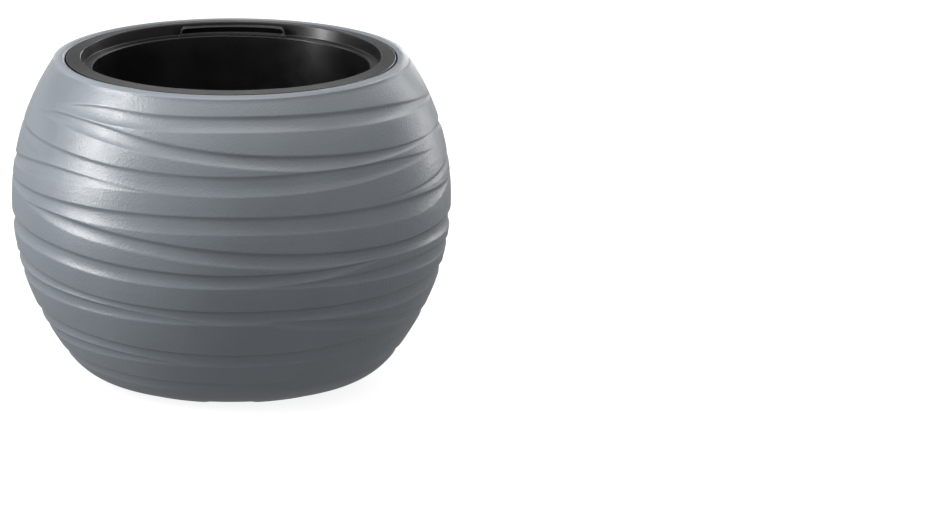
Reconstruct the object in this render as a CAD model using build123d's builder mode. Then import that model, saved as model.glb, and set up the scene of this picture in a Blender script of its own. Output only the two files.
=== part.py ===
from build123d import *

import os
from math import atan2, cos, degrees, hypot, radians, sin, sqrt

# Self watering planter: a bowl-shaped outer pot, a lift-out stepped liner with two pull-up handles,
# and a watering insert that stands on the liner's inner step. Sizes are in millimetres.
# The origin is the centre of the foot on the ground, +Z is up, and the front is -Y.

# ---- outer pot ----
pot_height = 328.0            # ground to the rim's inner edge
belly_radius = 219.7          # widest radius of the bowl
belly_height = 190.0          # height of the widest place
foot_radius = 113.5           # outside of the foot ring
foot_ring_width = 9.5
foot_ring_height = 2.5
notch_height = 2.2            # arched drain notches in the foot ring
notch_half_width = 26.0
pot_wall = 4.0
rim_radius = 169.0            # rim's bright inner edge
rim_corner_radius = 179.2     # where the rim band turns down into the bowl
rim_drop = 2.0                # fall of the rim band from its inner edge to its corner
collar_radius = 166.5         # straight bore that the liner's flange drops into
seat_height = 316.0           # top of the ring that carries the liner
seat_radius = 157.0
seat_thickness = 3.0

# ---- liner ----
liner_wall = 2.2
flange_height = 329.0         # highest point of the liner, at the flange's inner edge
flange_drop = 1.5             # fall of the flange to its outer edge
flange_radius = 165.0
recess_radius = 150.4         # flange's inner edge, where the handle recess begins
ledge_radius = 148.2          # recess corner at ledge level
ledge_height = 317.5          # top of the ledge that the handles lie on
mouth_radius = 138.7          # ledge's inner edge, the mouth of the soil space
edge_round = 1.3              # rounding of the flange's and the mouth's edges
lip_height = seat_height + 0.3
step_height = 174.5           # underside of the step between the soil space and the foot
step_radius = 126.0
foot_top_radius = 114.0
foot_bottom_radius = 108.0
liner_base = 120.0            # underside of the liner's floor
base_round = 9.0

rib_count = 6
rib_thickness = 2.5
rib_radius = 155.0
rib_bottom = 293.0

drain_radius = 9.0
overflow_radius = 2.5
overflow_circle = 118.6
overflow_count = 4

# ---- handles ----
grip_half_chord = 52.5
grip_flare = 1.5              # the grip's ends spread at the foot
grip_end_round = 5.0
grip_inner_radius = 139.5
grip_outer_radius = 147.7     # at the foot of the grip, the top leans out with the recess
grip_top_radius = 148.6
grip_base = ledge_height + 0.3
grip_top = 326.6
panel_depth = 0.9             # recessed panel in the two long faces
panel_border = 1.2
panel_foot_border = 2.6
channel_wall = 2.2            # grip is a channel, open below
channel_angle = 19.6          # half the turn of the channel round the pot's axis
leg_radius = 144.6            # middle of the legs, from the pot's axis
leg_offset = 44.0             # half the distance between a handle's two legs
leg_width = 10.0
leg_thickness = 3.0
slot_clearance = 0.5
barb_width = 14.0
barb_height = 11.0
handle_travel = 27.0

# ---- watering insert ----
plate_radius = 121.5
plate_base = step_height + liner_wall + 0.3
plate_thickness = 2.4
plate_rim_height = 6.0
plate_rim_wall = 2.0
drip_hole_radius = 1.8
basket_circle = 62.0
basket_angles = (90.0, 210.0, 330.0)
basket_top_radius = 25.0
basket_bottom_radius = 17.0
basket_base = 128.0
basket_wall = 1.6
basket_flange_radius = 29.0
basket_slots = 8
tube_y = -86.0                # level tube stands behind the front rim, out of the plants' way
tube_radius = 14.5
tube_wall = 1.6
tube_base = 124.5
tube_top = 300.0
tube_flange_radius = 19.0
cap_skirt = 8.0
cap_radius = 16.6
cap_hub_radius = 5.0
cap_spokes = 3

# ---- float ----
float_radius = 10.5
float_base = 126.4
float_height = 16.0
rod_radius = 2.0
guide_clearance = 0.5
marker_radius = 4.0
marker_height = 6.0

insert_gap = 0.1              # between pieces of one body that rest on each other


def radial_plane(angle):
    """Upright plane through the pot's axis: local x is the radius, local y is the height."""
    a = radians(angle)
    return Plane(origin=(0, 0, 0), x_dir=(cos(a), sin(a), 0), z_dir=(sin(a), -cos(a), 0))


def upright_plane(x, y):
    """Upright plane parallel to XZ through (x, y)."""
    return Plane(origin=(x, y, 0), x_dir=(1, 0, 0), z_dir=(0, -1, 0))


def finish(part, name):
    part.label = name
    export_step(part, f"parts/{name}.step")


os.makedirs("parts", exist_ok=True)

# ---- outer pot ----
with BuildPart() as outer_pot:
    with BuildSketch(Plane.XZ):
        with BuildLine():
            floor_top = foot_ring_height + pot_wall
            bowl = Spline(
                (foot_radius, foot_ring_height),
                (133, 6.2),
                (152.8, 18),
                (173.2, 42),
                (205.2, 103),
                (belly_radius, belly_height),
                (208.7, 260),
                (192.5, 300),
                (179.8, 321.5),
            )
            corner = TangentArc(bowl @ 1, (rim_corner_radius - 1.5, pot_height - rim_drop), tangent=bowl % 1)
            band = Line(corner @ 1, (rim_radius + 0.6, pot_height))
            edge = TangentArc(band @ 1, (collar_radius, pot_height - 3), tangent=band % 1)
            collar = Line(edge @ 1, (collar_radius, seat_height))
            seat = Polyline(
                collar @ 1,
                (seat_radius, seat_height),
                (seat_radius, seat_height - seat_thickness),
                (175.5, seat_height - seat_thickness - 2),
            )
            cavity = Spline(
                seat @ 1,
                (204.6, 259),
                (belly_radius - pot_wall, belly_height),
                (201.6, 105),
                (170, 44.4),
                (150.2, 21),
                (131.9, 9.7),
                (foot_radius - 4, floor_top),
            )
            Polyline(cavity @ 1, (0, floor_top), (0, foot_ring_height))
            Polyline(
                (0, foot_ring_height),
                (foot_radius - foot_ring_width, foot_ring_height),
                (foot_radius - foot_ring_width, 0),
                (foot_radius, 0),
                bowl @ 0,
            )
        make_face()
    revolve(axis=Axis.Z)
    notch_arch = (notch_half_width**2 + notch_height**2) / (2 * notch_height)
    with Locations((0, 0, notch_height - notch_arch)):
        Cylinder(notch_arch, 2.2 * foot_radius, rotation=(90, 0, 0), mode=Mode.SUBTRACT)
        Cylinder(notch_arch, 2.2 * foot_radius, rotation=(0, 90, 0), mode=Mode.SUBTRACT)
finish(outer_pot.part, "outer_pot")

# ---- liner ----
ledge_underside = ledge_height - liner_wall
leg_angle = degrees(atan2(leg_offset, sqrt(leg_radius**2 - leg_offset**2)))
leg_angles = [side + turn for side in (90.0, 270.0) for turn in (-leg_angle, leg_angle)]

with BuildPart() as liner:
    with BuildSketch(Plane.XZ):
        with BuildLine():
            Line((0, liner_base), (foot_bottom_radius - base_round, liner_base))
            under_round = TangentArc(
                (foot_bottom_radius - base_round, liner_base),
                (foot_bottom_radius, liner_base + base_round),
                tangent=(1, 0),
            )
            outside = FilletPolyline(
                under_round @ 1,
                (foot_top_radius, step_height),
                (step_radius, step_height),
                (mouth_radius + liner_wall, ledge_underside),
                radius=2.5,
            )
            skirt = Polyline(
                outside @ 1,
                (ledge_radius + liner_wall, ledge_underside),
                (recess_radius + liner_wall, flange_height - liner_wall - 0.2),
                (flange_radius - liner_wall, flange_height - flange_drop - liner_wall),
                (flange_radius - liner_wall, lip_height),
                (flange_radius, lip_height),
                (flange_radius, flange_height - flange_drop - 1.2),
            )
            brim_round = TangentArc(
                skirt @ 1, (flange_radius - 1.3, flange_height - flange_drop), tangent=(0, 1)
            )
            brim = FilletPolyline(
                brim_round @ 1,
                (recess_radius, flange_height),
                (ledge_radius, ledge_height),
                (mouth_radius, ledge_height),
                (step_radius - liner_wall, step_height + liner_wall),
                (foot_top_radius - liner_wall, step_height + liner_wall),
                (foot_bottom_radius - liner_wall, liner_base + base_round),
                radius=(edge_round, 0.9, edge_round, 0.9, 0.9),
            )
            inner_round = TangentArc(
                brim @ 1,
                (foot_bottom_radius - base_round - 1, liner_base + liner_wall),
                tangent=brim % 1,
            )
            Polyline(inner_round @ 1, (0, liner_base + liner_wall), (0, liner_base))
        make_face()
    revolve(axis=Axis.Z)
    # centring ribs under the flange
    for k in range(rib_count):
        with BuildSketch(radial_plane(360.0 / rib_count * k)):
            with BuildLine():
                Polyline(
                    (recess_radius + 1, flange_height - 2),
                    (rib_radius, flange_height - 2),
                    (rib_radius, rib_bottom + 15),
                    (rib_radius - 8.2, rib_bottom + 7.5),
                    (rib_radius - 9, rib_bottom + 1.5),
                    (rib_radius - 10.5, rib_bottom),
                    (mouth_radius - 0.9, rib_bottom),
                    (mouth_radius + 1.5, ledge_underside + 0.3),
                    (recess_radius + 1, ledge_underside + 0.3),
                    close=True,
                )
            make_face()
        extrude(amount=rib_thickness / 2, both=True)
    # slots for the handle legs
    for angle in leg_angles:
        with BuildSketch(Plane.XY.offset(ledge_underside - 1)):
            with Locations(Location((leg_radius * cos(radians(angle)), leg_radius * sin(radians(angle)), 0),
                                    (0, 0, angle))):
                Rectangle(leg_thickness + 2 * slot_clearance, leg_width + 2 * slot_clearance)
        extrude(amount=liner_wall + 2, mode=Mode.SUBTRACT)
    # overflow holes in the step and the drain hole in the floor
    with BuildSketch(Plane.XY.offset(step_height - 3)):
        with PolarLocations(overflow_circle, overflow_count, start_angle=45):
            Circle(overflow_radius)
    extrude(amount=liner_wall + 4, mode=Mode.SUBTRACT)
    with BuildSketch(Plane.XY.offset(liner_base - 1)):
        Circle(drain_radius)
    extrude(amount=liner_wall + 2, mode=Mode.SUBTRACT)
finish(liner.part, "liner")

# ---- handles ----
grip_angle = degrees(atan2(grip_half_chord + grip_flare, sqrt(leg_radius**2 - grip_half_chord**2))) + 1
barb_shoulder = ledge_underside - handle_travel - 0.3


def facing_plane(angle, radius):
    """Upright plane square to a radius: local x runs along the handle, local y is the height."""
    a = radians(angle)
    return Plane(
        origin=(radius * cos(a), radius * sin(a), 0),
        x_dir=(-sin(a), cos(a), 0),
        z_dir=(cos(a), sin(a), 0),
    )


def build_panel(middle, inner_radius, lean):
    """Solid that hollows the recessed panel out of one long face of a grip. Its sides lean outwards."""
    bottom = grip_base + panel_foot_border
    top = grip_top - panel_border
    bottom_radius = inner_radius + lean * (bottom - grip_base)
    top_radius = inner_radius + lean * (top - grip_base)
    half = grip_half_chord - 1.5 * panel_border
    with BuildPart() as panel:
        with BuildSketch(radial_plane(middle - grip_angle)):
            with BuildLine():
                Polyline(
                    (bottom_radius, bottom),
                    (bottom_radius + 5, bottom),
                    (top_radius + 5, top),
                    (top_radius, top),
                    close=True,
                )
            make_face()
        revolve(axis=Axis.Z, revolution_arc=2 * grip_angle)
        with BuildSketch(facing_plane(middle, inner_radius - 30)):
            with BuildLine():
                FilletPolyline(
                    (-half, bottom),
                    (-half, top),
                    (half, top),
                    (half, bottom),
                    radius=grip_end_round - panel_border,
                )
                Line((half, bottom), (-half, bottom))
            make_face()
        extrude(amount=60, mode=Mode.INTERSECT)
    return panel.part


def build_handle(middle):
    """One lifting handle: a curved channel-section grip with two barbed legs."""
    start = middle - grip_angle
    lean = (grip_top_radius - grip_outer_radius) / (grip_top - grip_base)
    inner_panel = build_panel(middle, grip_inner_radius + 0.3 + panel_depth - 5, 0)
    outer_panel = build_panel(middle, grip_outer_radius - panel_depth, lean)
    with BuildPart() as handle:
        with BuildSketch(radial_plane(start)):
            with BuildLine():
                FilletPolyline(
                    (grip_inner_radius + 0.3, grip_base),
                    (grip_inner_radius + 0.3, grip_top),
                    (grip_top_radius, grip_top),
                    (grip_outer_radius, grip_base),
                    radius=1.0,
                )
                Line((grip_outer_radius, grip_base), (grip_inner_radius + 0.3, grip_base))
            make_face()
        revolve(axis=Axis.Z, revolution_arc=2 * grip_angle)
        # ends rounded off at the top and flared at the foot
        with BuildSketch(facing_plane(middle, grip_inner_radius - 30)):
            with BuildLine():
                FilletPolyline(
                    (-grip_half_chord - grip_flare, grip_base),
                    (-grip_half_chord, grip_base + 3),
                    (-grip_half_chord + 1, grip_top),
                    (grip_half_chord - 1, grip_top),
                    (grip_half_chord, grip_base + 3),
                    (grip_half_chord + grip_flare, grip_base),
                    radius=(2, grip_end_round, grip_end_round, 2),
                )
                Line((grip_half_chord + grip_flare, grip_base), (-grip_half_chord - grip_flare, grip_base))
            make_face()
        extrude(amount=60, mode=Mode.INTERSECT)
        # channel along the underside, closed at both ends
        with BuildSketch(radial_plane(middle - channel_angle)):
            with BuildLine():
                Polyline(
                    (grip_inner_radius + channel_wall + 0.3, grip_base - 1),
                    (grip_outer_radius - channel_wall, grip_base - 1),
                    (grip_outer_radius - channel_wall, grip_top - 3),
                    (grip_inner_radius + channel_wall + 0.3, grip_top - 3),
                    close=True,
                )
            make_face()
        revolve(axis=Axis.Z, revolution_arc=2 * channel_angle, mode=Mode.SUBTRACT)
        # recessed panels in the two long faces
        add(inner_panel, mode=Mode.SUBTRACT)
        add(outer_panel, mode=Mode.SUBTRACT)
        # legs with arrow barbs
        for turn in (-leg_angle, leg_angle):
            with BuildSketch(facing_plane(middle + turn, leg_radius - leg_thickness / 2)):
                with BuildLine():
                    Polyline(
                        (-leg_width / 2, grip_top - 2),
                        (-leg_width / 2, barb_shoulder),
                        (-barb_width / 2, barb_shoulder),
                        (-barb_width / 2, barb_shoulder - 1.5),
                        (-1, barb_shoulder - barb_height),
                        (1, barb_shoulder - barb_height),
                        (barb_width / 2, barb_shoulder - 1.5),
                        (barb_width / 2, barb_shoulder),
                        (leg_width / 2, barb_shoulder),
                        (leg_width / 2, grip_top - 2),
                        close=True,
                    )
                make_face()
            extrude(amount=leg_thickness)
    return handle.part


for handle_name, middle in (("handle_front", 270.0), ("handle_rear", 90.0)):
    finish(build_handle(middle), handle_name)

# ---- separator plate ----
plate_top = plate_base + plate_thickness
basket_centres = [(basket_circle * cos(radians(a)), basket_circle * sin(radians(a))) for a in basket_angles]


def drip_holes():
    """Places of the drip holes: rings of holes, left out near the baskets and the level tube."""
    places = []
    for ring, count in ((16, 8), (30, 14), (98, 48), (110, 54)):
        for k in range(count):
            a = radians(360.0 * k / count)
            x, y = ring * cos(a), ring * sin(a)
            keep_off = basket_flange_radius + 4
            clear_of_baskets = all(hypot(x - bx, y - by) > keep_off for bx, by in basket_centres)
            if clear_of_baskets and hypot(x, y - tube_y) > tube_flange_radius + 4:
                places.append((x, y))
    return places


with BuildPart() as separator_plate:
    with BuildSketch(Plane.XY.offset(plate_base)):
        Circle(plate_radius)
        with Locations(basket_centres):
            Circle(basket_top_radius + 0.6, mode=Mode.SUBTRACT)
        with Locations((0, tube_y)):
            Circle(tube_radius + 0.4, mode=Mode.SUBTRACT)
        with Locations(drip_holes()):
            Circle(drip_hole_radius, mode=Mode.SUBTRACT)
    extrude(amount=plate_thickness)
    with BuildSketch(Plane.XY.offset(plate_base)):
        Circle(plate_radius)
        Circle(plate_radius - plate_rim_wall, mode=Mode.SUBTRACT)
    extrude(amount=plate_rim_height)
    # notches in the rim let spare water reach the liner's overflow holes
    with BuildSketch(Plane.XY.offset(plate_base - 1)):
        with PolarLocations(plate_radius - 1.5, overflow_count, start_angle=45):
            Circle(overflow_radius + 1)
    extrude(amount=plate_rim_height + 2, mode=Mode.SUBTRACT)
finish(separator_plate.part, "separator_plate")


# ---- wick baskets ----
def build_basket(x, y):
    """Slotted soil foot: a tapered cup that hangs in the plate by its flange and stands in the water."""
    flange_base = plate_top + insert_gap
    with BuildPart() as basket:
        with BuildSketch(upright_plane(x, y)):
            with BuildLine():
                Polyline(
                    (0, basket_base),
                    (basket_bottom_radius, basket_base),
                    (basket_top_radius, plate_base),
                    (basket_top_radius, flange_base),
                    (basket_flange_radius, flange_base),
                    (basket_flange_radius, flange_base + basket_wall),
                    (basket_top_radius - basket_wall, flange_base + basket_wall),
                    (basket_top_radius - basket_wall, plate_base),
                    (basket_bottom_radius - basket_wall, basket_base + basket_wall),
                    (0, basket_base + basket_wall),
                    close=True,
                )
            make_face()
        revolve(axis=Axis((x, y, 0), (0, 0, 1)))
        for k in range(basket_slots):
            a = 360.0 / basket_slots * (k + 0.5)
            with BuildSketch(Plane.XY.offset(basket_base + 5)):
                with Locations(Location((x + 21 * cos(radians(a)), y + 21 * sin(radians(a)), 0), (0, 0, a))):
                    SlotOverall(16, 3)
            extrude(amount=plate_base - basket_base - 12, mode=Mode.SUBTRACT)
        with BuildSketch(Plane.XY.offset(basket_base - 1)):
            with Locations((x, y)):
                with PolarLocations(8, 6):
                    Circle(1.6)
        extrude(amount=basket_wall + 2, mode=Mode.SUBTRACT)
    return basket.part


for number, (x, y) in enumerate(basket_centres, start=1):
    finish(build_basket(x, y), f"wick_basket_{number}")

# ---- level tube and its cap ----
tube_axis = Axis((0, tube_y, 0), (0, 0, 1))
flange_base = plate_top + insert_gap

with BuildPart() as level_tube:
    with BuildSketch(upright_plane(0, tube_y)):
        with BuildLine():
            Polyline(
                (float_radius - 2.5, tube_base),
                (tube_radius, tube_base),
                (tube_radius, flange_base),
                (tube_flange_radius, flange_base),
                (tube_flange_radius, flange_base + 2),
                (tube_radius, flange_base + 2),
                (tube_radius, tube_top),
                (tube_radius - tube_wall, tube_top),
                (tube_radius - tube_wall, tube_base + tube_wall),
                (float_radius - 2.5, tube_base + tube_wall),
                close=True,
            )
        make_face()
    revolve(axis=tube_axis)
    # water slots below the plate
    for turn in (0, 90):
        with BuildSketch(Plane.XY.offset(tube_base + 4)):
            with Locations(Location((0, tube_y, 0), (0, 0, turn))):
                SlotOverall(2 * tube_radius + 6, 4)
        extrude(amount=plate_base - tube_base - 12, mode=Mode.SUBTRACT)
finish(level_tube.part, "level_tube")

cap_base = tube_top + insert_gap
cap_thickness = 2.0
with BuildPart() as tube_cap:
    with BuildSketch(upright_plane(0, tube_y)):
        with BuildLine():
            FilletPolyline(
                (tube_radius + 0.2, tube_top - cap_skirt),
                (cap_radius, tube_top - cap_skirt),
                (cap_radius, cap_base + cap_thickness),
                (tube_radius - tube_wall - 1, cap_base + cap_thickness),
                radius=0.8,
            )
            Polyline(
                (tube_radius - tube_wall - 1, cap_base + cap_thickness),
                (tube_radius - tube_wall - 1, cap_base),
                (tube_radius + 0.2, cap_base),
                (tube_radius + 0.2, tube_top - cap_skirt),
            )
        make_face()
    revolve(axis=tube_axis)
    with BuildSketch(Plane.XY.offset(cap_base)):
        with Locations((0, tube_y)):
            Circle(cap_hub_radius)
        for k in range(cap_spokes):
            a = 90.0 + 360.0 / cap_spokes * k
            reach = tube_radius - tube_wall
            with Locations(Location((reach / 2 * cos(radians(a)), tube_y + reach / 2 * sin(radians(a)), 0),
                                    (0, 0, a))):
                Rectangle(reach, 2.2)
        with Locations((0, tube_y)):
            Circle(rod_radius + guide_clearance, mode=Mode.SUBTRACT)
    extrude(amount=cap_thickness)
finish(tube_cap.part, "tube_cap")

# ---- float ----
float_top = float_base + float_height
marker_base = cap_base + cap_thickness + 0.6

with BuildPart() as float_cup:
    with BuildSketch(upright_plane(0, tube_y)):
        with BuildLine():
            FilletPolyline(
                (0, float_base),
                (float_radius, float_base),
                (float_radius, float_top - 4),
                (rod_radius + 1, float_top),
                (0, float_top),
                radius=1.0,
            )
            Line((0, float_top), (0, float_base))
        make_face()
    revolve(axis=tube_axis)
finish(float_cup.part, "float_cup")

with BuildPart() as float_rod:
    with BuildSketch(Plane.XY.offset(float_top)):
        with Locations((0, tube_y)):
            Circle(rod_radius)
    extrude(amount=marker_base - float_top)
finish(float_rod.part, "float_rod")

with BuildPart() as level_marker:
    with BuildSketch(upright_plane(0, tube_y)):
        with BuildLine():
            FilletPolyline(
                (0, marker_base),
                (marker_radius, marker_base),
                (marker_radius, marker_base + marker_height),
                (0, marker_base + marker_height),
                radius=1.5,
            )
            Line((0, marker_base + marker_height), (0, marker_base))
        make_face()
    revolve(axis=tube_axis)
finish(level_marker.part, "level_marker")

# ---- drain bung ----
bung_seat = liner_base + liner_wall + 0.15
with BuildPart() as drain_bung:
    with BuildSketch(Plane.XZ):
        with BuildLine():
            Polyline(
                (0, liner_base + 0.4),
                (drain_radius - 0.6, liner_base + 0.4),
                (drain_radius - 0.08, liner_base + 0.9),
                (drain_radius - 0.08, bung_seat),
                (drain_radius + 4, bung_seat),
                (drain_radius + 4, bung_seat + 1.5),
                (drain_radius + 2.5, bung_seat + 2.5),
                (0, bung_seat + 2.5),
                close=True,
            )
        make_face()
    revolve(axis=Axis.Z)
    with BuildSketch(Plane.XZ):
        with BuildLine():
            FilletPolyline(
                (-5, bung_seat + 2),
                (-5, bung_seat + 10),
                (5, bung_seat + 10),
                (5, bung_seat + 2),
                radius=2.5,
            )
            Line((5, bung_seat + 2), (-5, bung_seat + 2))
        make_face()
    extrude(amount=1.2, both=True)
finish(drain_bung.part, "drain_bung")
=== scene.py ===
import math

import bmesh
import bpy
import numpy as np
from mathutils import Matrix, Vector


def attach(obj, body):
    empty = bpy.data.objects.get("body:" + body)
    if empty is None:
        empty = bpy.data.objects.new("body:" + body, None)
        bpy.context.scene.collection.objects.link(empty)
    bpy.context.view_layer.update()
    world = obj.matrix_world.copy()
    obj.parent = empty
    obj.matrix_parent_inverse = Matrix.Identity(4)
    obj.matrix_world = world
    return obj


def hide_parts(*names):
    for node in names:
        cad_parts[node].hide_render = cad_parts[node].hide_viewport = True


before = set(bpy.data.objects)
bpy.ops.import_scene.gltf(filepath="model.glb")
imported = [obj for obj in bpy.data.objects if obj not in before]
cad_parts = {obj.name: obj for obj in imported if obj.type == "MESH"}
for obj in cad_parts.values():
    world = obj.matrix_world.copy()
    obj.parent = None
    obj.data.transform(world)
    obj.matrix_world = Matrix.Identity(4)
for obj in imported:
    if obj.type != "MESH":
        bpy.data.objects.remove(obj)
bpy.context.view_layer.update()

# Self watering planter. Everything is in metres in the frame's own axes: +Z up, front along -Y.
# Angles round the pot are in degrees from the front, growing towards +X.

MM = 0.001
scene = bpy.context.scene

# ---------------------------------------------------------------- ripples of the outer pot
# Each ripple is a long scoop hollowed out of the bowl between an upper and a lower edge.
# An edge is a smooth curve through a few (angle, height in mm) points. The mould has two equal halves,
# so every scoop comes back after half a turn.
HALF_TURN = 180.0
HALF_TURNS = range(-2, 2)     # the half turns after which a scoop can meet an angle from 0 to 360 degrees
SCOOPS = [
    {   # under the rim
        "depth": 2.3,
        "upper": [(-64, 298.7), (-50, 308), (-20, 309.6), (0, 310.5), (30, 308.7), (55, 304.4),
                  (75, 297.4), (93, 289)],
        "lower": [(-64, 296.1), (-40, 294.6), (-20, 294.5), (0, 295.8), (30, 293.5), (55, 290.4),
                  (80, 288.4), (93, 288)],
    },
    {   # falls from left to right across the shoulder
        "depth": 2.5,
        "upper": [(-72, 288.6), (-60, 294.6), (-40, 293.9), (-20, 284.6), (0, 276.7), (20, 271.8),
                  (50, 266.1), (76, 263.5)],
        "lower": [(-72, 286.6), (-50, 282.1), (-30, 274.8), (-10, 267.4), (10, 260.2), (24, 256.5),
                  (50, 257), (76, 262.5)],
    },
    {   # broad shallow scoop above the belly
        "depth": 1.9,
        "upper": [(-104, 264.5), (-80, 265.5), (-60, 263.9), (-30, 257.7), (0, 254.7), (30, 256.1),
                  (50, 255), (72, 248.9)],
        "lower": [(-104, 262.5), (-80, 251.8), (-55, 245.9), (-25, 237.3), (0, 234.7), (30, 237.3),
                  (50, 241.8), (72, 247.9)],
    },
    {
        "depth": 1.8,
        "upper": [(44, 217.4), (65, 222.4), (90, 232), (110, 241.7), (128, 245.5), (145, 242.7),
                  (160, 236)],
        "lower": [(44, 216.5), (70, 217.4), (90, 222), (110, 227.5), (130, 231.9), (145, 234.6),
                  (160, 235.5)],
    },
    {   # ring just above the belly line
        "depth": 1.9,
        "upper": [(-98, 210.6), (-70, 213.2), (-40, 214.4), (-10, 215.5), (25, 214.1), (60, 213),
                  (82, 209.7)],
        "lower": [(-98, 208.8), (-75, 202.8), (-50, 199.4), (-20, 196.8), (0, 197.2), (40, 194.6),
                  (65, 195.3), (82, 207.8)],
    },
    {   # the longest scoop, winding down round the belly
        "depth": 2.5,
        "upper": [(-68, 200.5), (-50, 198.9), (-30, 191.8), (0, 180.7), (20, 175.4), (50, 172),
                  (88, 175.9), (120, 168.6), (150, 160), (175, 155.9), (200, 156.8), (225, 159.7)],
        "lower": [(-68, 199.5), (-50, 186.4), (-30, 177.5), (-10, 168.3), (15, 160.8), (50, 159.1),
                  (88, 157.8), (120, 152.7), (150, 143.5), (175, 141.3), (200, 144.5), (225, 159.2)],
    },
    {
        "depth": 1.6,
        "upper": [(3, 142.4), (25, 145.9), (50, 149.9), (80, 149.5), (102, 141.9)],
        "lower": [(3, 141.5), (25, 138.8), (50, 136.1), (80, 135.5), (102, 140.4)],
    },
    {   # ring below the belly
        "depth": 2.4,
        "upper": [(-95, 128.9), (-80, 137.4), (-60, 130.1), (-40, 122.4), (-15, 117.3), (15, 116.8),
                  (50, 118.4), (70, 121.4), (85, 124.7)],
        "lower": [(-95, 126.3), (-80, 125), (-60, 119.8), (-40, 115.2), (-20, 106.1), (-5, 102.1),
                  (30, 103.4), (60, 102.9), (85, 118.7)],
    },
    {
        "depth": 2.1,
        "upper": [(-88, 121.9), (-60, 119.1), (-40, 114.9), (-20, 109.8), (0, 103)],
        "lower": [(-88, 111.1), (-60, 105.6), (-40, 103), (-20, 101.3), (0, 102)],
    },
    {
        "depth": 1.8,
        "upper": [(52, 103.5), (70, 119.9), (85, 121.7), (98, 116.1)],
        "lower": [(52, 102.5), (70, 104.5), (85, 107.4), (98, 113.1)],
    },
    {
        "depth": 1.7,
        "upper": [(1, 109.3), (20, 104.2), (40, 97.6), (60, 89.2), (80, 87.8), (104, 92.1)],
        "lower": [(1, 108.4), (20, 94.2), (40, 84.9), (60, 78.5), (80, 83.1), (104, 91.1)],
    },
    {   # deep ring above the foot
        "depth": 2.2,
        "upper": [(-90, 83), (-72, 81.6), (-50, 75.8), (-25, 69.7), (0, 67), (25, 69.1), (50, 74.8),
                  (70, 78.4), (90, 83)],
        "lower": [(-90, 70), (-72, 66.6), (-50, 64.9), (-30, 59.3), (-10, 53), (10, 53.1), (35, 56.9),
                  (60, 61.3), (90, 70)],
    },
    {
        "depth": 1.9,
        "upper": [(-98, 63.8), (-72, 65.8), (-50, 64.2), (-30, 59.9), (-8, 53.5)],
        "lower": [(-98, 59.9), (-72, 55.2), (-50, 53.4), (-30, 53.3), (-8, 52.8)],
    },
    {   # lowest ring
        "depth": 1.9,
        "upper": [(-90, 40.5), (-60, 38), (-30, 33.3), (0, 32.5), (20, 32.3), (40, 36.2), (60, 39.4),
                  (90, 40.5)],
        "lower": [(-90, 31), (-60, 27.1), (-30, 21.6), (0, 20.6), (20, 20), (40, 22), (60, 25.6), (90, 31)],
    },
]
FULL_DEPTH_WIDTH = 13.0       # a scoop narrower than this, in mm, is shallower in proportion
DEEPEST = 0.34                # the scoop is deepest at this part of its width, counted from the upper edge
UPPER_POWER = 2.8             # how sharply the scoop drops from its upper edge
LOWER_POWER = 2.3             # how sharply it rises to its lower edge
LEAST_WIDTH = 1e-6            # in mm, where a scoop closes to a point
WELD_DISTANCE = 1e-6          # vertices nearer than this are one, in metres
DEGENERATE_LENGTH = 1e-7      # edges shorter than this are dissolved
LEAST_LENGTH = 1e-9           # keeps a zero vector from being divided by zero
AXIS_RADIUS = 1e-4            # points nearer to the axis than this lie on it
OTHER_HALF = -1e-5            # a cut edge with an end at a smaller radius is on the far side of the axis


def curve_through(points, at):
    """Smooth curve through (x, y) points, read at an array of x. The slope at a point is that of the parabola
    through it and its two neighbours."""
    x, y = np.array(points, float).T
    step = np.diff(x)
    rise = np.diff(y) / step
    slope = np.empty(len(x))
    slope[0], slope[-1] = rise[0], rise[-1]
    slope[1:-1] = (rise[:-1] * step[1:] + rise[1:] * step[:-1]) / (step[:-1] + step[1:])
    k = np.clip(np.searchsorted(x, at) - 1, 0, len(x) - 2)
    t = np.clip((at - x[k]) / step[k], 0, 1)
    h00, h10 = (1 + 2 * t) * (1 - t) ** 2, t * (1 - t) ** 2
    h01, h11 = t * t * (3 - 2 * t), t * t * (t - 1)
    return h00 * y[k] + h10 * step[k] * slope[k] + h01 * y[k + 1] + h11 * step[k] * slope[k + 1]


def ripple_depth(angle, height):
    """Depth of the relief, in metres, at arrays of angles and of heights in metres."""
    height = height / MM
    depth = np.zeros(np.broadcast(angle, height).shape)
    for scoop in SCOOPS:
        first, last = scoop["upper"][0][0], scoop["upper"][-1][0]
        for turn in HALF_TURNS:
            at = angle + turn * HALF_TURN
            inside = (at >= first) & (at <= last)
            if not inside.any():
                continue
            top, bottom = curve_through(scoop["upper"], at), curve_through(scoop["lower"], at)
            width = np.maximum(top - bottom, LEAST_WIDTH)
            u = np.clip((top - height) / width, 0, 1)
            hollow = np.where(
                u < DEEPEST,
                1 - ((DEEPEST - u) / DEEPEST) ** UPPER_POWER,
                1 - ((u - DEEPEST) / (1 - DEEPEST)) ** LOWER_POWER,
            )
            size = scoop["depth"] * np.minimum(width / FULL_DEPTH_WIDTH, 1)
            depth = np.maximum(depth, np.where(inside, size * hollow, 0))
    return depth * MM


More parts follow.
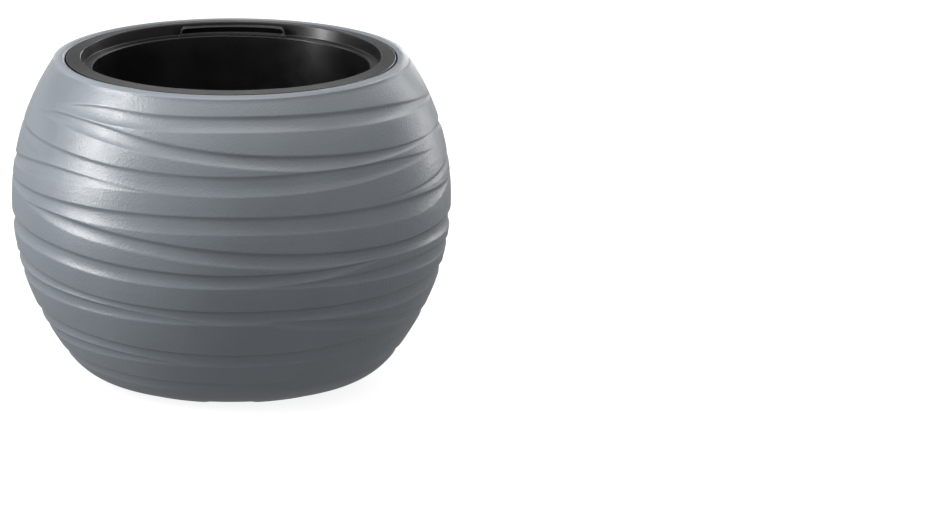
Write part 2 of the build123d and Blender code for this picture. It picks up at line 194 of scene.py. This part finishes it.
# ---------------------------------------------------------------- mesh helpers
def section(node, angle):
    """Outline of a solid turned CAD node in the upright half plane at an angle, as (radius, height) points
    from the axis underneath, round the outside, to the axis on top."""
    a = math.radians(angle)
    outward = Vector((math.sin(a), -math.cos(a), 0))
    across = Vector((math.cos(a), math.sin(a), 0))
    bm = bmesh.new()
    bm.from_mesh(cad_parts[node].data)
    bmesh.ops.remove_doubles(bm, verts=bm.verts, dist=WELD_DISTANCE)
    cut = bmesh.ops.bisect_plane(
        bm,
        geom=bm.verts[:] + bm.edges[:] + bm.faces[:],
        plane_co=(0, 0, 0),
        plane_no=across,
        dist=WELD_DISTANCE,
    )["geom_cut"]
    links = {}
    for edge in cut:
        if isinstance(edge, bmesh.types.BMEdge):
            ends = [(round(v.co.dot(outward), 6), round(v.co.z, 6)) for v in edge.verts]
            if min(ends)[0] > OTHER_HALF and ends[0] != ends[1]:
                links.setdefault(ends[0], []).append(ends[1])
                links.setdefault(ends[1], []).append(ends[0])
    bm.free()
    start = min((p for p in links if len(set(links[p])) == 1), key=lambda p: p[1])
    path, seen = [start], {start}
    while True:
        after = [p for p in links[path[-1]] if p not in seen]
        if not after:
            break
        path.append(after[0])
        seen.add(after[0])
    on_axis = [(0, path[k][1]) for k in (0, -1)]
    return np.array([on_axis[0]] + [p for p in path if p[0] > AXIS_RADIUS] + [on_axis[1]])


def resample(path, spacing):
    """Points about the spacing apart on a smooth curve through the polyline's points."""
    step = np.hypot(*np.diff(path, axis=0).T)
    t = np.concatenate([[0], np.cumsum(step)])
    count = max(2, int(round(t[-1] / spacing)))
    even = np.linspace(0, t[-1], count + 1)
    return np.column_stack([curve_through(np.column_stack([t, path[:, k]]), even) for k in (0, 1)])


def new_piece(name, verts, faces, body, stands_for):
    """A smooth-shaded mesh piece that rides on a body and stands for CAD nodes."""
    mesh = bpy.data.meshes.new(name)
    mesh.from_pydata(verts, [], faces)
    mesh.validate()
    mesh.update()
    mesh.shade_smooth()
    piece = bpy.data.objects.new(name, mesh)
    scene.collection.objects.link(piece)
    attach(piece, body)
    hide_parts(*stands_for)
    return piece


# ---------------------------------------------------------------- outer pot
POT_COLUMNS = 200
BOWL_SPACING = 0.88 * MM      # rows of the rippled bowl
INNER_SPACING = 15 * MM       # rows of the wall inside, which is smooth
SECTION_ANGLE = 45            # the outline is read here, between two notches of the foot ring
CAVITY_DROP = 17 * MM         # the smooth wall inside begins this far below the rim
ON_GROUND = 1e-4              # points lower than this stand on the ground
RIM_DROP = 2.2 * MM           # the bowl ends where the rim band begins, this far below the rim
NOTCH_HEIGHT = 2.2 * MM       # arched notches under the foot ring
NOTCH_HALF_WIDTH = 26 * MM


def pot_profile():
    """Outline of the pot's wall, from the middle underneath, up the bowl, over the rim and down inside.
    Returns the points, and which of them lie on the rippled bowl."""
    path = section("outer_pot", SECTION_ANGLE)
    top = path[:, 1].max()
    foot_end = max(i for i in range(len(path)) if path[i][1] < ON_GROUND)
    bowl_end = next(i for i in range(foot_end, len(path)) if path[i][1] > top - RIM_DROP)
    cavity = next(i for i in range(bowl_end, len(path)) if path[i][1] < top - CAVITY_DROP)
    bowl = resample(path[foot_end:bowl_end + 1], BOWL_SPACING)
    inside = resample(path[cavity:], INNER_SPACING)
    under, rim = path[:foot_end], path[bowl_end + 1:cavity]
    points = np.concatenate([under, bowl, rim, inside])
    on_bowl = np.zeros(len(points), bool)
    on_bowl[len(under):len(under) + len(bowl)] = True
    return points, on_bowl


def turned(points, columns):
    """Vertices of a profile turned about the Z axis, as an array [row, column, xyz], and the angles of its
    columns in degrees."""
    angles = np.arange(columns) * 360.0 / columns
    a = np.radians(angles)
    verts = np.empty((len(points), columns, 3))
    verts[..., 0] = points[:, :1] * np.sin(a)
    verts[..., 1] = -points[:, :1] * np.cos(a)
    verts[..., 2] = points[:, 1:]
    return verts, angles


def turned_faces(rows, columns):
    """Quads between the rows of a turned mesh, closed round the axis."""
    here = np.arange(columns)
    after = (here + 1) % columns
    faces = []
    for r in range(rows - 1):
        low, high = r * columns, (r + 1) * columns
        faces += [(low + i, low + j, high + j, high + i) for i, j in zip(here, after)]
    return faces


def build_pot():
    points, on_bowl = pot_profile()
    along = np.gradient(points, axis=0)
    normal = np.column_stack([along[:, 1], -along[:, 0]])
    normal /= np.maximum(np.linalg.norm(normal, axis=1, keepdims=True), LEAST_LENGTH)
    verts, angles = turned(points, POT_COLUMNS)
    depth = ripple_depth(angles[None, :], points[on_bowl, 1:])
    a = np.radians(angles)
    verts[on_bowl, :, 0] -= depth * normal[on_bowl, :1] * np.sin(a)
    verts[on_bowl, :, 1] += depth * normal[on_bowl, :1] * np.cos(a)
    verts[on_bowl, :, 2] -= depth * normal[on_bowl, 1:]
    # the arched notches lift the underside of the foot ring and the foot of the bowl
    across = np.minimum(np.abs(verts[..., 0]), np.abs(verts[..., 1]))
    radius = (NOTCH_HALF_WIDTH ** 2 + NOTCH_HEIGHT ** 2) / (2 * NOTCH_HEIGHT)
    arch = NOTCH_HEIGHT - radius + np.sqrt(np.maximum(radius ** 2 - across ** 2, 0))
    ring = (points[:, 1] < NOTCH_HEIGHT)[:, None] & (across < NOTCH_HALF_WIDTH)
    verts[..., 2] = np.where(ring, np.maximum(verts[..., 2], arch), verts[..., 2])
    # both ends of the profile lie on the axis, where welding leaves one vertex of each row
    flat = verts.reshape(-1, 3)
    faces = turned_faces(len(points), POT_COLUMNS)
    pot = new_piece("pot_shell", flat.tolist(), faces, "planter", ["outer_pot"])
    weld(pot)
    return pot


def weld(piece):
    """Joins doubled vertices and turns every face outwards."""
    bm = bmesh.new()
    bm.from_mesh(piece.data)
    bmesh.ops.remove_doubles(bm, verts=bm.verts, dist=WELD_DISTANCE)
    bmesh.ops.dissolve_degenerate(bm, edges=bm.edges, dist=DEGENERATE_LENGTH)
    bmesh.ops.recalc_face_normals(bm, faces=bm.faces)
    bm.to_mesh(piece.data)
    bm.free()
    piece.data.shade_smooth()


pot = build_pot()

# ---------------------------------------------------------------- materials
CLOUD_SCALE = 22              # slow clouding of the pigment
GLOSS_SCALE = 60              # slow variation of the gloss
DULLER, GLOSSIER = 0.04, 0.03  # how far the roughness varies up and down
EDGE_GLINT_AT = (0.51, 0.56)         # pointiness of an edge where the painted edge highlight begins and where it is full
EDGE_GLINT_GAIN = 1.5                # a sharp edge is lighter than the base colour by this factor, a painted highlight
BEVEL_SAMPLES = 12            # rays that round an edge in the shading
TOOTH_FINENESS = 3            # the fine tooth has this many times the grain's frequency
TOOTH_SHARE = 0.25            # height of the fine tooth as a part of the grain's


def plastic(
    name,
    base,
    roughness,
    grain_pitch,
    grain_height,
    edge_glint=0.0,
    glint_lift=0.02,
    tint=0.04,
    specular=0.5,
    edge_round=0.0,
):
    """Moulded plastic: a leather grain and slow variation of colour and gloss. Where they are asked for,
    sharp edges are painted lighter as a painted highlight, and edges are rounded in the shading."""
    material = bpy.data.materials.new(name)
    material.use_nodes = True
    nodes, links = material.node_tree.nodes, material.node_tree.links
    shader = nodes["Principled BSDF"]
    shader.inputs["Specular IOR Level"].default_value = specular

    where = nodes.new("ShaderNodeTexCoord").outputs["Object"]

    def noise(scale, detail, rough=0.5):
        node = nodes.new("ShaderNodeTexNoise")
        node.inputs["Scale"].default_value = scale
        node.inputs["Detail"].default_value = detail
        node.inputs["Roughness"].default_value = rough
        links.new(where, node.inputs["Vector"])
        return node.outputs["Fac"]

    def spread(source, low, high, from_low=0.3, from_high=0.7):
        node = nodes.new("ShaderNodeMapRange")
        node.inputs["From Min"].default_value = from_low
        node.inputs["From Max"].default_value = from_high
        node.inputs["To Min"].default_value = low
        node.inputs["To Max"].default_value = high
        links.new(source, node.inputs["Value"])
        return node.outputs["Result"]

    # colour: slow clouding of the pigment, and a painted highlight that lightens sharp edges
    ramp = nodes.new("ShaderNodeMix")
    ramp.data_type = "RGBA"
    ramp.inputs[6].default_value = (*[c * (1 - tint) for c in base], 1)
    ramp.inputs[7].default_value = (*[c * (1 + tint) for c in base], 1)
    links.new(spread(noise(CLOUD_SCALE, 3), 0, 1), ramp.inputs[0])
    colour = ramp.outputs[2]
    # painted highlight: sharp edges, found by their pointiness, are mixed towards a lighter colour
    if edge_glint:
        edge = nodes.new("ShaderNodeNewGeometry").outputs["Pointiness"]
        glint = nodes.new("ShaderNodeMix")
        glint.data_type = "RGBA"
        glint.inputs[7].default_value = (*[min(1, c * EDGE_GLINT_GAIN + glint_lift) for c in base], 1)
        links.new(colour, glint.inputs[6])
        links.new(spread(edge, 0, edge_glint, *EDGE_GLINT_AT), glint.inputs[0])
        colour = glint.outputs[2]
    links.new(colour, shader.inputs["Base Color"])

    # gloss: it varies slowly over the surface
    gloss = spread(noise(GLOSS_SCALE, 4), roughness - GLOSSIER, roughness + DULLER)
    links.new(gloss, shader.inputs["Roughness"])

    # leather grain: soft pebbles, and a fine tooth on them
    pebbles = nodes.new("ShaderNodeBump")
    if edge_round:
        rounded = nodes.new("ShaderNodeBevel")
        rounded.samples = BEVEL_SAMPLES
        rounded.inputs["Radius"].default_value = edge_round
        links.new(rounded.outputs["Normal"], pebbles.inputs["Normal"])
    pebbles.inputs["Distance"].default_value = grain_height
    links.new(noise(1 / grain_pitch, 1.5), pebbles.inputs["Height"])
    tooth = nodes.new("ShaderNodeBump")
    tooth.inputs["Distance"].default_value = grain_height * TOOTH_SHARE
    links.new(noise(TOOTH_FINENESS / grain_pitch, 2), tooth.inputs["Height"])
    links.new(pebbles.outputs["Normal"], tooth.inputs["Normal"])
    links.new(tooth.outputs["Normal"], shader.inputs["Normal"])
    return material


def dress(node, material):
    """Puts one material on every face of a CAD node or piece."""
    mesh = node.data
    mesh.materials.clear()
    mesh.materials.append(material)


# the pot's sharp edges carry a painted highlight
pot_plastic = plastic(
    "pot_plastic", (0.15, 0.171, 0.194), 0.37, 2.1 * MM, 0.3 * MM, edge_glint=0.5, specular=1.0
)
liner_plastic = plastic(
    "liner_plastic", (0.0022, 0.0022, 0.0025), 0.3, 1.6 * MM, 0.012 * MM, tint=0.1, edge_round=0.7 * MM
)
# the handles' sharp edges carry a painted highlight
handle_plastic = plastic(
    "handle_plastic", (0.0022, 0.0022, 0.0025), 0.22, 1.6 * MM, 0.01 * MM, edge_glint=0.5, glint_lift=0.1, tint=0.1,
    edge_round=0.6 * MM,
)
insert_plastic = plastic("insert_plastic", (0.05, 0.052, 0.055), 0.45, 1.8 * MM, 0.05 * MM, tint=0.1)
float_foam = plastic("float_foam", (0.76, 0.75, 0.71), 0.5, 1.5 * MM, 0.06 * MM)
float_plastic = plastic("float_plastic", (0.72, 0.71, 0.67), 0.3, 1.2 * MM, 0.02 * MM)
marker_plastic = plastic("marker_plastic", (0.55, 0.035, 0.02), 0.28, 1.2 * MM, 0.02 * MM)
bung_rubber = plastic("bung_rubber", (0.018, 0.018, 0.018), 0.62, 1.2 * MM, 0.05 * MM, tint=0.15)

dress(pot, pot_plastic)
finishes = {
    "liner": liner_plastic,
    "handle_front": handle_plastic,
    "handle_rear": handle_plastic,
    "separator_plate": insert_plastic,
    "wick_basket_1": insert_plastic,
    "wick_basket_2": insert_plastic,
    "wick_basket_3": insert_plastic,
    "level_tube": insert_plastic,
    "tube_cap": insert_plastic,
    "float_cup": float_foam,
    "float_rod": float_plastic,
    "level_marker": marker_plastic,
    "drain_bung": bung_rubber,
}
for node, material in finishes.items():
    dress(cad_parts[node], material)

# ---------------------------------------------------------------- camera, light and floor
ELEVATION = 13.75             # the camera looks down by this many degrees, from far off
DISTANCE = 20.0
SENSOR_WIDTH = 36             # millimetres
VIEW_RANGE = 200              # metres
FIELD_WIDTH = 0.92696         # metres across the picture at the planter
TARGET = Vector((0.2316, 0, 0.1209))

camera_data = bpy.data.cameras.new("camera")
camera_data.sensor_width = SENSOR_WIDTH
camera_data.lens = camera_data.sensor_width * DISTANCE / FIELD_WIDTH
camera_data.clip_end = VIEW_RANGE
camera = bpy.data.objects.new("camera", camera_data)
tilt = math.radians(ELEVATION)
camera.location = TARGET + DISTANCE * Vector((0, -math.cos(tilt), math.sin(tilt)))
camera.rotation_euler = (math.pi / 2 - tilt, 0, 0)
scene.collection.objects.link(camera)
scene.camera = camera


def softbox(name, azimuth, distance, height, size, power, aim=(0, 0, 0.19)):
    """Rectangular area light that looks at the planter; azimuth is counted as the pot's angles are."""
    data = bpy.data.lights.new(name, "AREA")
    data.shape = "RECTANGLE"
    data.size, data.size_y = size
    data.energy = power
    lamp = bpy.data.objects.new(name, data)
    a = math.radians(azimuth)
    lamp.location = (distance * math.sin(a), -distance * math.cos(a), height)
    lamp.rotation_euler = (Vector(aim) - lamp.location).to_track_quat("-Z", "Y").to_euler()
    scene.collection.objects.link(lamp)


softbox("left_softbox", -77, 1.5, 0.75, (0.3, 1.4), 26)
softbox("right_strip", 130, 1.8, 0.8, (0.35, 1.8), 10)
softbox("overhead", 0, 0.35, 1.9, (1.8, 1.4), 12)
softbox("back_right", 164, 2.5, 0.46, (0.5, 0.7), 5.5, aim=(0, 0, 0.33))
softbox("back_left", -164, 2.5, 0.46, (0.5, 0.7), 0.8, aim=(0, 0, 0.33))

# brightness of the room by the sine of the height above the horizon
ROOM = [
    (-0.5, 0.36),
    (-0.16, 0.5),
    (-0.04, 0.9),
    (0.06, 0.9),
    (0.14, 0.1),
    (0.33, 0.08),
    (0.4, 1.5),
    (0.55, 1.15),
    (0.9, 0.7),
]
ROOM_SIDES = (0.95, 0.78)     # brightness of the room at the far left and the far right


def studio_world():
    """White room: bright overhead and at the horizon, with a dim band between and a dimmer floor."""
    world = bpy.data.worlds.new("studio")
    world.use_nodes = True
    nodes, links = world.node_tree.nodes, world.node_tree.links
    height = nodes.new("ShaderNodeSeparateXYZ")
    links.new(nodes.new("ShaderNodeTexCoord").outputs["Generated"], height.inputs[0])
    half = nodes.new("ShaderNodeMapRange")
    half.inputs["From Min"].default_value = -1
    links.new(height.outputs["Z"], half.inputs["Value"])
    ramp = nodes.new("ShaderNodeValToRGB")
    stops = ramp.color_ramp.elements
    stops[0].position, stops[1].position = (ROOM[0][0] + 1) / 2, (ROOM[-1][0] + 1) / 2
    for level, _ in ROOM[1:-1]:
        stops.new((level + 1) / 2)
    for stop, (_, grey) in zip(stops, ROOM):
        stop.color = (grey, grey, grey, 1)
    links.new(half.outputs["Result"], ramp.inputs["Fac"])
    # the room is lighter on the left
    side = nodes.new("ShaderNodeMapRange")
    side.inputs["From Min"].default_value = -1
    side.inputs["To Min"].default_value, side.inputs["To Max"].default_value = ROOM_SIDES
    links.new(height.outputs["X"], side.inputs["Value"])
    links.new(side.outputs["Result"], nodes["Background"].inputs["Strength"])
    links.new(ramp.outputs["Color"], nodes["Background"].inputs["Color"])
    return world


scene.world = studio_world()
scene.view_settings.view_transform = "Standard"


FLOOR_HALF = 60.0             # half the floor's side, in metres
FLOOR_GREY = 0.25
FLOOR_GLOW = 0.87


def pale_floor():
    """Wide pale floor. It glows, so that it stays pale away from the lamps, and throws no light back."""
    half = FLOOR_HALF
    mesh = bpy.data.meshes.new("floor")
    corners = [(-half, -half, 0), (half, -half, 0), (half, half, 0), (-half, half, 0)]
    mesh.from_pydata(corners, [], [(0, 1, 2, 3)])
    floor = bpy.data.objects.new("floor", mesh)
    scene.collection.objects.link(floor)
    paper = bpy.data.materials.new("floor_paper")
    paper.use_nodes = True
    shader = paper.node_tree.nodes["Principled BSDF"]
    shader.inputs["Base Color"].default_value = (FLOOR_GREY, FLOOR_GREY, FLOOR_GREY, 1)
    shader.inputs["Roughness"].default_value = 0.9
    shader.inputs["Emission Color"].default_value = (1, 1, 1, 1)
    shader.inputs["Emission Strength"].default_value = FLOOR_GLOW
    mesh.materials.append(paper)
    floor.visible_diffuse = False
    floor.visible_glossy = False


pale_floor()
